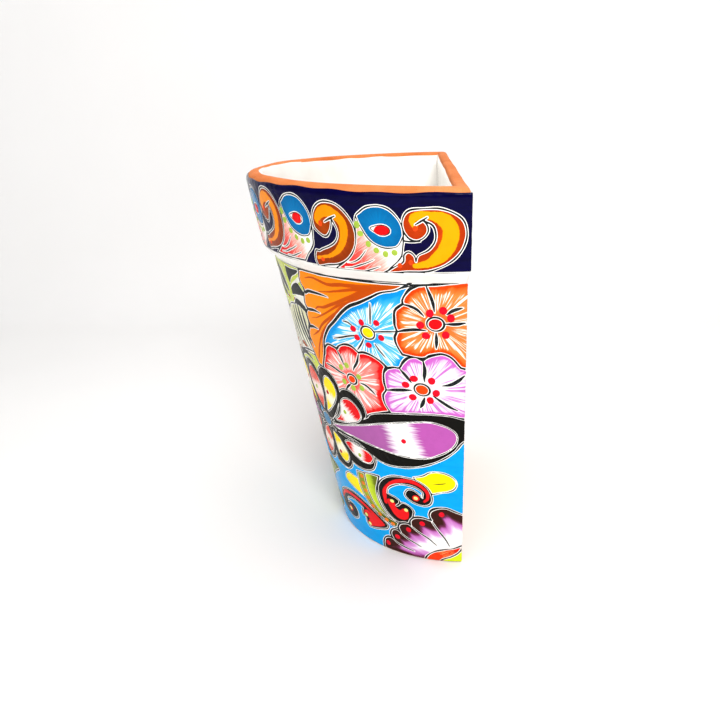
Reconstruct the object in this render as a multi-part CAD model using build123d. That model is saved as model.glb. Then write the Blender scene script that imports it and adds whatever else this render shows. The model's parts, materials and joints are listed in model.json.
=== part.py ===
"""Half-round talavera wall pot: a flat-backed, tapering half cone of terracotta with a thick rim band.

The potter's four clay pieces (back slab, rolled front wall, floor slab, applied rim collar) are luted
together face to face, and four thin coats of fired glaze lie on them. Millimetres, +Z up. The origin is
the centre of the standing footprint's bounding box: the pot bulges towards -Y, its flat back faces +Y,
and X runs across its width.
"""
import os

from build123d import *

# Driving dimensions
HEIGHT = 305.0
BASE_RADIUS = 104.5
SHOULDER_RADIUS = 150.0
SHOULDER_HEIGHT = 245.0
COLLAR_FOOT_RADIUS = 158.0
COLLAR_FOOT_HEIGHT = 253.0
RIM_RADIUS = 167.0
RIM_HEIGHT = 302.0
WALL_THICKNESS = 6.5
BACK_THICKNESS = 9.5
FLOOR_THICKNESS = 11.0
GLAZE_THICKNESS = 0.5

# Edges and limits of the glaze
LIP_ROUNDING = 2.5
FOOT_ROUNDING = 1.0
FOOT_BARE_HEIGHT = 1.5
LIP_BARE_OUTSIDE = 3.0
LIP_BARE_INSIDE = 3.0

# Hanging hole through the back slab
HOLE_RADIUS = 5.0
HOLE_BELOW_RIM = 40.0
GLAZE_HOLE_CLEARANCE = 1.0

# Planes across the depth: the pot is as deep as its rim radius
BACK_Y = RIM_RADIUS / 2
SLAB_FRONT_Y = BACK_Y - BACK_THICKNESS
SLAB_FRONT_PLANE = Plane(origin=(0, SLAB_FRONT_Y, 0), z_dir=(0, 1, 0))
TURNING_AXIS = Axis((0, 0, 0), (0, 0, -1))


def wall_radius(z):
    """Outer radius of the glazed cone at height z."""
    taper = (SHOULDER_RADIUS - BASE_RADIUS) / SHOULDER_HEIGHT
    return BASE_RADIUS + taper * z


def rim_radius(z):
    """Outer radius of the glazed rim band at height z."""
    taper = (RIM_RADIUS - COLLAR_FOOT_RADIUS) / (RIM_HEIGHT - COLLAR_FOOT_HEIGHT)
    return COLLAR_FOOT_RADIUS + taper * (z - COLLAR_FOOT_HEIGHT)


def clay_radius(z):
    """Outer radius of the clay cone, under its glaze."""
    return wall_radius(z) - GLAZE_THICKNESS


def inner_radius(z):
    """Radius of the clay's inner face at height z."""
    return wall_radius(z) - WALL_THICKNESS


def half_turn(outline, rounded=()):
    """Turn an outline of (radius, height) points through the front half circle.

    rounded lists ((radius, height), rounding) for the corners to soften.
    """
    profile = make_face(Plane.XZ * Polyline(*outline, close=True))
    for (radius, height), rounding in rounded:
        corner = profile.vertices().sort_by_distance((radius, 0, height))[0]
        profile = fillet(corner, rounding)
    return Pos(0, BACK_Y, 0) * revolve(profile, axis=TURNING_AXIS, revolution_arc=180)


def in_front_of_slab(shape):
    return split(shape, bisect_by=SLAB_FRONT_PLANE, keep=Keep.BOTTOM)


def front_wall():
    """The rolled half cone, its two straight edges butted on the back slab."""
    foot = (clay_radius(0), 0)
    inner_lip = (inner_radius(HEIGHT), HEIGHT)
    outline = [foot, (clay_radius(HEIGHT), HEIGHT), inner_lip, (inner_radius(0), 0)]
    rounded = [(foot, FOOT_ROUNDING), (inner_lip, LIP_ROUNDING)]
    return in_front_of_slab(half_turn(outline, rounded))


def floor_slab():
    """The half disc that closes the cone, flush with its foot."""
    outline = [
        (0, 0),
        (inner_radius(0), 0),
        (inner_radius(FLOOR_THICKNESS), FLOOR_THICKNESS),
        (0, FLOOR_THICKNESS),
    ]
    return in_front_of_slab(half_turn(outline))


def collar_outline_points():
    """Outer clay points of the rim band, from its chamfered foot to the lip."""
    return [
        (clay_radius(SHOULDER_HEIGHT), SHOULDER_HEIGHT),
        (COLLAR_FOOT_RADIUS - GLAZE_THICKNESS, COLLAR_FOOT_HEIGHT),
        (RIM_RADIUS - GLAZE_THICKNESS, RIM_HEIGHT),
        (RIM_RADIUS - GLAZE_THICKNESS, HEIGHT),
    ]


def rim_collar():
    """The strip of clay applied round the outside of the rim."""
    outer = collar_outline_points()
    outline = outer + [(clay_radius(HEIGHT), HEIGHT)]
    return in_front_of_slab(half_turn(outline, [(outer[-1], LIP_ROUNDING)]))


def back_slab():
    """The flat back, cut to the pot's whole outline and pierced for a nail or hook."""
    foot = (clay_radius(0), 0)
    outer = collar_outline_points()
    outline = [(0, 0), foot] + outer + [(0, HEIGHT)]
    whole = half_turn(outline, [(foot, FOOT_ROUNDING), (outer[-1], LIP_ROUNDING)])
    slab = split(whole, bisect_by=SLAB_FRONT_PLANE, keep=Keep.TOP)
    top_edges = slab.edges().filter_by(Axis.X).group_by(Axis.Z)[-1]
    slab = fillet(top_edges, LIP_ROUNDING)
    return slab - hanging_hole(HOLE_RADIUS)


def hanging_hole(radius):
    """A cylinder along Y through the back, the depth of two slabs."""
    centre = Pos(0, BACK_Y - BACK_THICKNESS / 2, HEIGHT - HOLE_BELOW_RIM)
    return centre * Rot(90, 0, 0) * Cylinder(radius, 2 * BACK_THICKNESS)


def outer_coat(radius_at, low, high):
    """A coat of glaze between two heights, over the front and the slab's edges."""
    outline = [
        (radius_at(low) - GLAZE_THICKNESS, low),
        (radius_at(low), low),
        (radius_at(high), high),
        (radius_at(high) - GLAZE_THICKNESS, high),
    ]
    return half_turn(outline)


def body_glaze():
    return outer_coat(wall_radius, FOOT_BARE_HEIGHT, SHOULDER_HEIGHT)


def band_glaze():
    """The white coat over the collar's chamfered foot."""
    outline = [
        (clay_radius(SHOULDER_HEIGHT), SHOULDER_HEIGHT),
        (wall_radius(SHOULDER_HEIGHT), SHOULDER_HEIGHT),
        (COLLAR_FOOT_RADIUS, COLLAR_FOOT_HEIGHT),
        (COLLAR_FOOT_RADIUS - GLAZE_THICKNESS, COLLAR_FOOT_HEIGHT),
    ]
    return half_turn(outline)


def rim_glaze():
    return outer_coat(rim_radius, COLLAR_FOOT_HEIGHT, HEIGHT - LIP_BARE_OUTSIDE)


def hollow(inset):
    """The space inside the pot up to the glaze line, shrunk by inset."""
    floor = FLOOR_THICKNESS + inset
    top = HEIGHT - LIP_BARE_INSIDE
    outline = [(0, floor), (inner_radius(floor) - inset, floor), (inner_radius(top) - inset, top), (0, top)]
    front = Plane(origin=(0, SLAB_FRONT_Y - inset, 0), z_dir=(0, 1, 0))
    return split(half_turn(outline), bisect_by=front, keep=Keep.BOTTOM)


def inside_glaze():
    """One continuous white coat over the inner wall, the back and the floor."""
    coat = hollow(0) - hollow(GLAZE_THICKNESS)
    return coat - hanging_hole(HOLE_RADIUS + GLAZE_HOLE_CLEARANCE)


SUB_PARTS = [
    back_slab,
    front_wall,
    floor_slab,
    rim_collar,
    rim_glaze,
    band_glaze,
    body_glaze,
    inside_glaze,
]

os.makedirs("parts", exist_ok=True)
for make in SUB_PARTS:
    export_step(make(), f"parts/{make.__name__}.step")
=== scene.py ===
"""Looks for a half-round talavera wall pot: bare terracotta, white ground glaze and raised painted enamel.

The painting is laid out on two unrolled sheets, in millimetres: the cone and the rim band. On a sheet,
`across` is the arc from the pot's front centre line and `up` is the height. Each colour is a patch of
enamel with a rounded edge, set back from the dark drawn lines so that the white ground shows between.
"""
import json
import math

import bpy
import numpy as np
from mathutils import Matrix, Vector


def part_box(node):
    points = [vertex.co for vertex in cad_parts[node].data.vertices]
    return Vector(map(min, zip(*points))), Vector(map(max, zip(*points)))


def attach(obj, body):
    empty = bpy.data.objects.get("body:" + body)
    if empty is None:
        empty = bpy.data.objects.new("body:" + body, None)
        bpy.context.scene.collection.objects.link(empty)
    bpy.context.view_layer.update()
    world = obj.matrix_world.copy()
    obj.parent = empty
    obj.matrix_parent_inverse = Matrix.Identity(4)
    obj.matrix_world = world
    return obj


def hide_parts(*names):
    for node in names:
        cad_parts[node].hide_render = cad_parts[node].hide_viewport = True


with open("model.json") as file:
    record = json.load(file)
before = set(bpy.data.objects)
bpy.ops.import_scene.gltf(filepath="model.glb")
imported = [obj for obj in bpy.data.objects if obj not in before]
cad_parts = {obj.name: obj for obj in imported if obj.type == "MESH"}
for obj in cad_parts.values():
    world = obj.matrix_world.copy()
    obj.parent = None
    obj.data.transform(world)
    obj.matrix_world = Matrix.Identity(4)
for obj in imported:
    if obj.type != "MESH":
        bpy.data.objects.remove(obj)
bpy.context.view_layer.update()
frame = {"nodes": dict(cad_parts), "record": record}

MM = 0.001
FAR = 99.0                  # further than any distance measured on a sheet
WALL = 6.5                  # clay wall thickness
GLAZE = 0.5
LIP_ROUNDING = 6.0
LIP_RISE = (280, 25)        # the hand-cut lip's rise fades in from this height, over this much
RIM_OVERHANG = 1.3          # how far the rim stands out behind the flat back
SHEEN = 0.12                # specular level of the painted enamel
GROUND_STEP = 0.65          # lattice spacing of the cone's sheet
RIM_STEP = 0.5              # lattice spacing of the rim's sheet
SLIVER = 0.4                # paint narrower than about twice this is left out
WRAP = 0.9                  # how far the painting runs round the corner onto the back


# ================================================================ the pot's own sizes, read from the frame

def rings(node, back_y):
    """Height and outer radius of a turned coat's lowest ring, then of its highest."""
    points = np.array([v.co for v in frame["nodes"][node].data.vertices]) / MM
    radii = np.hypot(points[:, 0], points[:, 1] - back_y)
    heights = points[:, 2]
    low, high = heights.min(), heights.max()
    return low, radii[heights < low + 0.01].max(), high, radii[heights > high - 0.01].max()


BACK_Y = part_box("back_slab")[1].y / MM
SLAB_FRONT_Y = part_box("back_slab")[0].y / MM
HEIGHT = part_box("back_slab")[1].z / MM
FLOOR_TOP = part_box("floor_slab")[1].z / MM
BODY_LOW, BODY_LOW_RADIUS, BODY_HIGH, BODY_HIGH_RADIUS = rings("body_glaze", BACK_Y)
RIM_LOW, RIM_LOW_RADIUS, RIM_HIGH, RIM_HIGH_RADIUS = rings("rim_glaze", BACK_Y)
BODY_TAPER = (BODY_HIGH_RADIUS - BODY_LOW_RADIUS) / (BODY_HIGH - BODY_LOW)
RIM_TAPER = (RIM_HIGH_RADIUS - RIM_LOW_RADIUS) / (RIM_HIGH - RIM_LOW)
CHAMFER = (RIM_LOW_RADIUS - BODY_HIGH_RADIUS) / (RIM_LOW - BODY_HIGH)
RIM_MEAN_RADIUS = (RIM_LOW_RADIUS + RIM_HIGH_RADIUS) / 2
HOLE = next(m for m in frame["record"]["mounts"] if m["name"] == "hanging_hole")


def cone_radius(z):
    """Outer radius of the glazed cone at a height."""
    return BODY_LOW_RADIUS + BODY_TAPER * (z - BODY_LOW)


def inner_radius(z):
    """Radius of the clay wall's inner face at a height."""
    return cone_radius(z) - WALL


def glazed_radius(z):
    """Outer radius of the glazed pot: cone, chamfer, rim band, then the rounded lip.

    Near the chamfer it is averaged over nearby heights, which softens the two edges.
    """
    total = 0
    spread = (-1.6, -0.8, 0.0, 0.8, 1.6)
    for offset in spread:
        h = z + offset * (np.abs(z - RIM_LOW) < 12)
        chamfer = BODY_HIGH_RADIUS + CHAMFER * (h - BODY_HIGH)
        rim = RIM_LOW_RADIUS + RIM_TAPER * (np.minimum(h, RIM_HIGH) - RIM_LOW)
        total = total + np.where(h < BODY_HIGH, cone_radius(h), np.where(h < RIM_LOW, chamfer, rim))
    over = np.clip(z - (HEIGHT - LIP_ROUNDING), 0, LIP_ROUNDING)
    return total / len(spread) - (LIP_ROUNDING - np.sqrt(LIP_ROUNDING**2 - over**2))


def unevenness(turn, z):
    """How far the hand-made surface stands off the true shape, at an angle from the front and a height."""
    slow = 0.4 * np.sin(2.1 * turn + 0.011 * z + 0.8) + 0.22 * np.sin(5.3 * turn - 0.021 * z)
    return slow + 0.1 * np.sin(0.085 * z + 3.1 * turn) - 0.1


def hand_made(points):
    """Points with the hand-cut lip's rise and fall, and the rim's slight overhang at the back."""
    x, y, z = np.asarray(points, float).T
    side, forward = x / RIM_HIGH_RADIUS, (BACK_Y - y) / RIM_HIGH_RADIUS
    ripple = 0.25 * np.sin(6.5 * side + 4 * forward + 1) + 0.15 * np.sin(15 * side)
    lip = 1.9 * side + 4.4 * forward - 0.3 + ripple
    overhang = RIM_OVERHANG * np.clip((z - 246) / 9, 0, 1) * np.clip((y - 55) / 25, 0, 1)
    return np.stack([x, y + overhang, z + lip * np.clip((z - LIP_RISE[0]) / LIP_RISE[1], 0, 1)], 1)


def on_pot(turn, z, height=0.0):
    """Points on the glazed surface, raised by height, at angles from the front and heights up the pot.

    Past a quarter turn the surface folds round the corner onto the flat back.
    """
    radius = glazed_radius(z) + unevenness(turn, z) + height
    held = np.clip(turn, -math.pi / 2, math.pi / 2)
    past = np.abs(turn - held) * radius
    x = radius * np.sin(held) - past * np.sign(turn)
    y = BACK_Y - radius * np.cos(held) + np.where(past > 0, height, 0)
    return np.stack([x, y, z + 0 * turn], -1)


# ================================================================ materials

def ink_of(code):
    """A hex colour as linear red, green, blue, alpha."""
    parts = [int(code[n:n + 2], 16) / 255 for n in (0, 2, 4)]
    return [p / 12.92 if p <= 0.04045 else ((p + 0.055) / 1.055) ** 2.4 for p in parts] + [1.0]


class Nodes:
    """Short calls for building one material's nodes; most give back an output socket."""

    def __init__(self, name):
        self.material = bpy.data.materials.new(name)
        self.material.use_nodes = True
        self.tree = self.material.node_tree
        self.shader = self.tree.nodes["Principled BSDF"]

    def add(self, kind, inputs=None, **settings):
        made = self.tree.nodes.new(kind)
        for key, value in settings.items():
            setattr(made, key, value)
        for key, value in (inputs or {}).items():
            if isinstance(value, bpy.types.NodeSocket):
                self.tree.links.new(value, made.inputs[key])
            else:
                made.inputs[key].default_value = value
        return made

    def value(self, attribute):
        return self.add("ShaderNodeAttribute", attribute_name=attribute).outputs["Fac"]

    def vector(self, attribute):
        return self.add("ShaderNodeAttribute", attribute_name=attribute).outputs["Vector"]

    def place(self):
        return self.add("ShaderNodeTexCoord").outputs["Object"]

    def noise(self, vector, scale, detail=3.0, roughness=0.55):
        inputs = {"Vector": vector, "Scale": scale, "Detail": detail, "Roughness": roughness}
        return self.add("ShaderNodeTexNoise", inputs).outputs["Fac"]

    def math(self, operation, a, b=0.0):
        return self.add("ShaderNodeMath", {0: a, 1: b}, operation=operation).outputs[0]

    def spread(self, value, low, high, to_low=0.0, to_high=1.0):
        inputs = {"Value": value, "From Min": low, "From Max": high, "To Min": to_low, "To Max": to_high}
        return self.add("ShaderNodeMapRange", inputs, interpolation_type="SMOOTHSTEP").outputs["Result"]

    def ramp(self, value, stops):
        made = self.add("ShaderNodeValToRGB", {"Fac": value})
        points = made.color_ramp.elements
        while len(points) < len(stops):
            points.new(0.5)
        for point, (position, code) in zip(points, stops):
            point.position = position
            point.color = ink_of(code)
        return made.outputs["Color"]

    def mix(self, factor, a, b, blend="MIX"):
        made = self.add("ShaderNodeMix", {"Factor": factor}, data_type="RGBA", blend_type=blend)
        for socket, value in (("A", a), ("B", b)):
            target = next(s for s in made.inputs if s.name == socket and s.type == "RGBA")
            if isinstance(value, bpy.types.NodeSocket):
                self.tree.links.new(value, target)
            else:
                target.default_value = ink_of(value)
        return next(s for s in made.outputs if s.type == "RGBA")

    def colour(self, socket):
        self.tree.links.new(socket, self.shader.inputs["Base Color"])

    def bump(self, height, strength, distance=0.0003):
        inputs = {"Height": height, "Strength": strength, "Distance": distance}
        normal = self.add("ShaderNodeBump", inputs).outputs["Normal"]
        self.tree.links.new(normal, self.shader.inputs["Normal"])

    def finish(self, roughness, specular=0.4):
        self.shader.inputs["Roughness"].default_value = roughness
        self.shader.inputs["Specular IOR Level"].default_value = specular
        return self.material


def terracotta():
    """Fired clay: warm orange with paler dust, fine grit and a few pits."""
    m = Nodes("terracotta")
    place = m.place()
    body = m.ramp(m.noise(place, 24, 6, 0.62), [(0.3, "D67A42"), (0.52, "E28A54"), (0.75, "EB9C68")])
    scraped = m.add("ShaderNodeMapping", {"Vector": place, "Scale": (14, 14, 260)}).outputs["Vector"]
    scrapes = m.noise(scraped, 3, 3)
    grit = m.spread(m.noise(place, 1500, 2), 0.6, 0.72)
    worn = m.mix(m.spread(scrapes, 0.5, 0.75, 0.0, 0.35), body, "CB7240")
    m.colour(m.mix(m.math("MULTIPLY", grit, 0.7), worn, "B9663A"))
    m.bump(m.math("ADD", m.noise(place, 900, 6, 0.7), scrapes), 0.5, 0.0005)
    return m.finish(0.85, 0.2)


def white_ground():
    """Tin-white glaze, a little creamy where it lies thick."""
    m = Nodes("white_ground")
    place = m.place()
    m.colour(m.ramp(m.noise(place, 30, 4), [(0.3, "F3EFE8"), (0.7, "FCFAF6")]))
    m.bump(m.noise(place, 130, 2), 0.12)
    return m.finish(0.18)


def drawn_line():
    """The dark drawn outline, greyer where the brush ran dry."""
    m = Nodes("drawn_line")
    m.colour(m.ramp(m.noise(m.place(), 420, 4), [(0.35, "121416"), (0.6, "2A2E30"), (0.8, "4C5152")]))
    return m.finish(0.32, 0.15)


def enamel(name, stops, fray=0.0, streak=None, streak_reach=(0.15, 0.9), border=None, border_width=2.5,
           dash=None, mottle=0.06, streak_amount=(0.48, 0.58), specular=SHEEN):
    """Raised glossy enamel: a ramp over `reach`, frayed along the brush strokes held in `grain`.

    streak is the colour of brushed streaks within streak_reach; border lies along the outline, by `depth`;
    dash is the colour of strokes laid over, by `dash`.
    """
    m = Nodes(name)
    grain = m.vector("grain")
    reach = m.value("reach")
    strokes = m.noise(grain, 1.0, 3, 0.6)
    frayed = m.math("ADD", reach, m.math("MULTIPLY", m.math("SUBTRACT", strokes, 0.5), fray))
    colour = m.ramp(frayed, stops)
    if streak:
        rise = m.spread(reach, streak_reach[0] - 0.14, streak_reach[0] + 0.14)
        fall = m.spread(reach, streak_reach[1] - 0.14, streak_reach[1] + 0.14, 1.0, 0.0)
        starved = m.math("MULTIPLY", m.math("SUBTRACT", m.math("MULTIPLY", rise, fall), 1.0), 0.4)
        fine = m.math("ADD", m.noise(grain, 2.3, 1, 0.5), starved)
        colour = m.mix(m.spread(fine, streak_amount[0], streak_amount[1]), colour, streak)
    if border:
        rough_depth = m.math("ADD", m.value("depth"), m.math("MULTIPLY", strokes, -border_width))
        near_edge = m.spread(rough_depth, 0.2 * border_width, 0.6 * border_width, 1.0, 0.0)
        colour = m.mix(near_edge, colour, border)
    if dash:
        ragged = m.math("MULTIPLY", m.math("SUBTRACT", strokes, 0.5), 1.0)
        rough_dash = m.math("ADD", m.value("dash"), ragged)
        colour = m.mix(m.spread(rough_dash, -0.35, 0.35, 1.0, 0.0), colour, dash)
    pooled = m.noise(m.place(), 160, 3)
    m.colour(m.mix(m.spread(pooled, 0.35, 0.75, 0.0, mottle), colour, "1A1A2A", "MULTIPLY"))
    m.bump(m.noise(m.place(), 260, 2), 0.15)
    return m.finish(0.14, specular)


def plain(name, code, second, mottle=0.05):
    """One enamel colour with a brushed second tone."""
    return enamel(name, [(0.3, code), (0.8, second)], fray=0.9, mottle=mottle)


# ================================================================ outlines and strokes, in millimetres

def smooth(points, step=1.2):
    """A Catmull-Rom curve through given points."""
    p = np.asarray(points, float)
    if len(p) < 3:
        return p
    closed = np.allclose(p[0], p[-1])
    before, after = (p[-2], p[1]) if closed else (2 * p[0] - p[1], 2 * p[-1] - p[-2])
    p = np.vstack([before, p, after])
    out = []
    for a, b, c, d in zip(p, p[1:], p[2:], p[3:]):
        count = max(2, int(np.hypot(*(c - b)) / step))
        t = (np.arange(count) / count)[:, None]
        cubic = (3 * b - a - 3 * c + d) * t**3
        out.append(0.5 * (2 * b + (c - a) * t + (2 * a - 5 * b + 4 * c - d) * t**2 + cubic))
    return np.vstack(out + [p[-2:-1]])


def outline(*runs):
    """A closed outline: each run is smooth, and the runs meet at corners."""
    line = np.vstack([smooth(run) for run in runs])
    return np.vstack([line, line[:1]])


def ringed(points):
    """A smooth closed outline through the points, with one corner where it begins."""
    return outline(points + points[:1])


def oval(across, up, long, short, tilt=0.0):
    """An ellipse as an outline; tilt in degrees."""
    t = np.radians(np.arange(0, 361, 15))
    c, s = math.cos(math.radians(tilt)), math.sin(math.radians(tilt))
    x, y = long * np.cos(t), short * np.sin(t)
    return np.stack([across + c * x - s * y, up + s * x + c * y], 1)


def flipped(points, about):
    return [(2 * about - x, y) for x, y in points]


def radial(across, up, per_depth=None):
    """Brushwork that runs out from a point; reach goes 0 to 1 from it to the outline, or by depth."""

    def flow(x, y, depth):
        away, turn = np.hypot(x - across, y - up), np.arctan2(y - up, x - across)
        reach = away / (away + depth + 0.01) if per_depth is None else depth / per_depth
        return reach, np.stack([8 * np.cos(turn), 8 * np.sin(turn), 0.02 * away], 1)

    return flow


def along(start, end, fine=1.2):
    """Brushwork from one point to another; reach goes 0 to 1 between them."""
    (x0, y0), (x1, y1) = start, end
    length = math.hypot(x1 - x0, y1 - y0)

    def flow(x, y, _depth):
        forward = ((x - x0) * (x1 - x0) + (y - y0) * (y1 - y0)) / length
        side = ((x - x0) * (y1 - y0) - (y - y0) * (x1 - x0)) / length
        return forward / length, np.stack([side / fine, forward / 25, 0 * side], 1)

    return flow


def brushed(x, y, _depth):
    """Plain brushwork, level across the pot."""
    return 0.5 + 0 * x, np.stack([x / 14, y / 3, 0 * x], 1)


# ================================================================ sheets of paint

def without_slivers(region):
    """Where region is below 0 and near a place where it is well below 0."""
    inside = region < 0
    kept = region < -SLIVER
    for _ in range(5):
        grown = kept.copy()
        grown[1:] |= kept[:-1]
        grown[:-1] |= kept[1:]
        grown[:, 1:] |= kept[:, :-1]
        grown[:, :-1] |= kept[:, 1:]
        kept = grown & inside
    return kept


def cells(inside):
    """Faces between the lattice points inside; where a cell is cut, its cuts number on past the lattice.

    Each cut is held as (point inside, point outside) and its number.
    """
    rows = inside.shape[1]
    filled = inside[:-1, :-1].astype(int) + inside[1:, :-1] + inside[1:, 1:] + inside[:-1, 1:]
    i, j = np.nonzero(filled == 4)
    at = i * rows + j
    faces = np.stack([at, at + rows, at + rows + 1, at + 1], 1).tolist()
    flat, cuts = inside.ravel(), {}
    for cell in np.flatnonzero(((filled > 0) & (filled < 4)).ravel()).tolist():
        at = cell // (rows - 1) * rows + cell % (rows - 1)
        ring = (at, at + rows, at + rows + 1, at + 1)
        face = []
        for here, there in zip(ring, ring[1:] + ring[:1]):
            if flat[here]:
                face.append(here)
            if flat[here] != flat[there]:
                key = (here, there) if flat[here] else (there, here)
                face.append(cuts.setdefault(key, inside.size + len(cuts)))
        faces.append(face)
    return faces, cuts


class Sheet:
    """A lattice over an unrolled surface, with signed distances to what is drawn on it."""

    def __init__(self, left, right, low, high, step, turn_at, mirrored, taper=0.0):
        self.corner = np.array([left, low])
        self.step = step
        self.taper = taper
        self.turn_at = turn_at
        self.mirrored = mirrored
        columns = np.arange(left, right, step)
        rows = np.arange(low, high, step)
        self.across, self.up = np.meshgrid(columns, rows, indexing="ij")
        self.taken = np.full(self.across.shape, FAR)
        self.ink = self.taken.copy()
        self.jobs = []

    def window(self, line, margin=8.0):
        """The part of the lattice round a line."""
        low = ((line.min(0) - margin - self.corner) / self.step).astype(int).clip(0)
        high = ((line.max(0) + margin - self.corner) / self.step).astype(int).clip(0) + 2
        return slice(low[0], high[0]), slice(low[1], high[1])

    def from_line(self, line, half_widths=(0.0,)):
        """Distance from the edge of a stroke; half_widths run along it."""
        field = np.full(self.across.shape, FAR)
        here = self.window(line)
        x, y = self.across[here], self.up[here]
        best = np.full(x.shape, FAR)
        stations = np.linspace(0, 1, len(line))
        widths = np.interp(stations, np.linspace(0, 1, len(half_widths)), half_widths)
        for start, end, w0, w1 in zip(line, line[1:], widths, widths[1:]):
            d = end - start
            t = np.clip(((x - start[0]) * d[0] + (y - start[1]) * d[1]) / max(d @ d, 1e-9), 0, 1)
            away = np.hypot(x - start[0] - t * d[0], y - start[1] - t * d[1])
            best = np.minimum(best, away - (w0 + (w1 - w0) * t))
        field[here] = best
        return field

    def from_area(self, line):
        """Distance from a closed outline, below 0 inside it."""
        field = np.abs(self.from_line(line))
        here = self.window(line)
        x, y = self.across[here], self.up[here]
        odd = np.zeros(x.shape, bool)
        for (x0, y0), (x1, y1) in zip(line, line[1:]):
            if y0 != y1:
                odd ^= ((y0 > y) != (y1 > y)) & (x < (x1 - x0) * (y - y0) / (y1 - y0) + x0)
        field[here] = np.where(odd, -field[here], field[here])
        return field

    def pressure(self):
        """The brush's changing weight over the sheet, about 1."""
        first = np.sin(0.31 * self.across + 0.17 * self.up)
        second = np.sin(0.23 * self.up - 0.11 * self.across)
        return 1 + 0.3 * first * second

    def line(self, points, half_widths=(0.35, 0.75, 0.35)):
        """A drawn line."""
        self.ink = np.minimum(self.ink, self.from_line(smooth(points), half_widths))

    def area(self, name, edge, material, flow=brushed, drawn=0.5, dashes=(), slot="painted_glaze", **look):
        """A coloured area, under those already laid.

        edge is a closed outline, or a field that is below 0 inside; drawn is its drawn line's half-width.
        """
        inside = self.from_area(edge) if edge.shape[-1] == 2 else edge
        region = np.maximum(inside, -self.taken)
        if drawn:
            rim = np.abs(inside) - drawn * self.pressure()
            self.ink = np.minimum(self.ink, np.maximum(rim, -self.taken))
        self.taken = np.minimum(self.taken, inside)
        dash = np.full(self.across.shape, FAR)
        for points, widths in dashes:
            shape = self.from_line(smooth(points), widths) if widths else self.from_area(smooth(points))
            dash = np.minimum(dash, shape)
        self.jobs.append((name, region, inside, dash, material, flow, slot, look))

    def shape(self, edge):
        """A drawn area filled in with the line's own colour."""
        self.ink = np.minimum(self.ink, np.maximum(self.from_area(edge), -self.taken))

    def bead(self, name, spots, radius, material, flow=brushed, lift=0.25, squash=1.0):
        """Round dabs of thick paint laid over the rest."""
        for across, up in spots:
            stretch = 1 + 0.06 * math.sin(across + 2 * up)
            dab = oval(across, up, radius * stretch, radius * squash / stretch)
            dab[:, 0] += (dab[:, 1] - up) * self.taper * across / glazed_radius(up)
            inside = self.from_area(dab)
            nothing = np.full(self.across.shape, FAR)
            look = {"base": lift, "over": True}
            self.jobs.append((name, inside, inside, nothing, material, flow, "painted_glaze", look))

    def patch(self, region, thin=False):
        """How to blend lattice values, and the faces, for where region is below 0.

        Slivers are left out unless thin is set.
        """
        faces, cuts = cells(region < 0 if thin else without_slivers(region))
        used = np.unique(np.concatenate([np.array(f) for f in faces])) if faces else np.zeros(0, int)
        number = dict(zip(used.tolist(), range(len(used))))
        faces = [[number[c] for c in face] for face in faces]
        within = used[used < region.size]
        first = np.concatenate([within, np.array([k[0] for k in cuts], int)])
        second = np.concatenate([within, np.array([k[1] for k in cuts], int)])
        values = region.ravel()
        a, b = values[first], np.maximum(values[second], 0.0)
        share = np.where(first == second, 0.0, (a / np.where(a == b, -1.0, a - b)).clip(0.02, 0.98))

        def blend(grid):
            grid = grid.ravel()
            return grid[first] * (1 - share) + grid[second] * share

        return blend, faces

    def lay(self, name, parts, material, slot):
        """One piece from parts of (across, up, height, faces, attributes), with its mirror image."""
        points, faces, fields = [], [], {}
        count = 0
        for across, up, height, part_faces, attributes in parts:
            for side in ((1, -1) if self.mirrored else (1,)):
                turn = self.turn_at(side * across, up)
                points.append(on_pot(turn, up, height))
                order = slice(None, None, side)
                faces += [[count + c for c in face[order]] for face in part_faces]
                for key, values in attributes.items():
                    fields.setdefault(key, []).append(values)
                count += len(across)
        fields = {key: np.concatenate(values) for key, values in fields.items()}
        return new_piece(name, np.concatenate(points), faces, material, slot, fields)

    def finish(self, limit, gap=0.5, thickness=0.32, rounding=0.9):
        """Build every area laid so far; lines stop at the limit, where it rises above 0."""
        self.ink = np.maximum(self.ink, limit)
        groups = {}
        for name, region, inside, dash, material, flow, slot, look in self.jobs:
            if not look.get("over"):
                region = np.maximum(region, gap * look.get("gap", 1.0) - self.ink)
            blend, faces = self.patch(region, look.get("thin", False))
            if not faces:
                continue
            across, up = blend(self.across), blend(self.up)
            edge = np.clip(-blend(region), 0, 50)
            depth = np.clip(-blend(inside), 0, 50)
            reach, grain = flow(across, up, depth)
            rise = np.sqrt(1 - (1 - np.clip(edge / rounding, 0, 1)) ** 2)
            dabs = 0.04 * np.sin(0.9 * across + 0.5 * up) + 0.04 * np.sin(0.7 * up - 0.4 * across)
            height = look.get("base", 0.0) + (thickness + dabs) * rise - 0.06
            attributes = {"edge": edge, "depth": depth, "reach": reach, "grain": grain, "dash": blend(dash)}
            part = (across, up, height, faces, attributes)
            groups.setdefault(name, (material, slot, []))[2].append(part)
        for name, (material, slot, parts) in groups.items():
            self.lay(name, parts, material, slot)

    def finish_lines(self, name, material):
        """Build the drawn lines as one thin piece."""
        blend, faces = self.patch(self.ink, thin=True)
        across, up = blend(self.across), blend(self.up)
        height = 0.05 + 0.05 * np.clip(-blend(self.ink), 0, 1)
        self.lay(name, [(across, up, height, faces, {})], material, "painted_glaze")


def placed(name, data):
    """A new object in the scene."""
    made = bpy.data.objects.new(name, data)
    bpy.context.scene.collection.objects.link(made)
    return made


def smooth_mesh(name, points, faces, material):
    """A smooth-shaded mesh from points in metres."""
    mesh = bpy.data.meshes.new(name)
    mesh.from_pydata(points, [], faces)
    mesh.polygons.foreach_set("use_smooth", [True] * len(mesh.polygons))
    mesh.materials.append(material)
    return mesh


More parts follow.
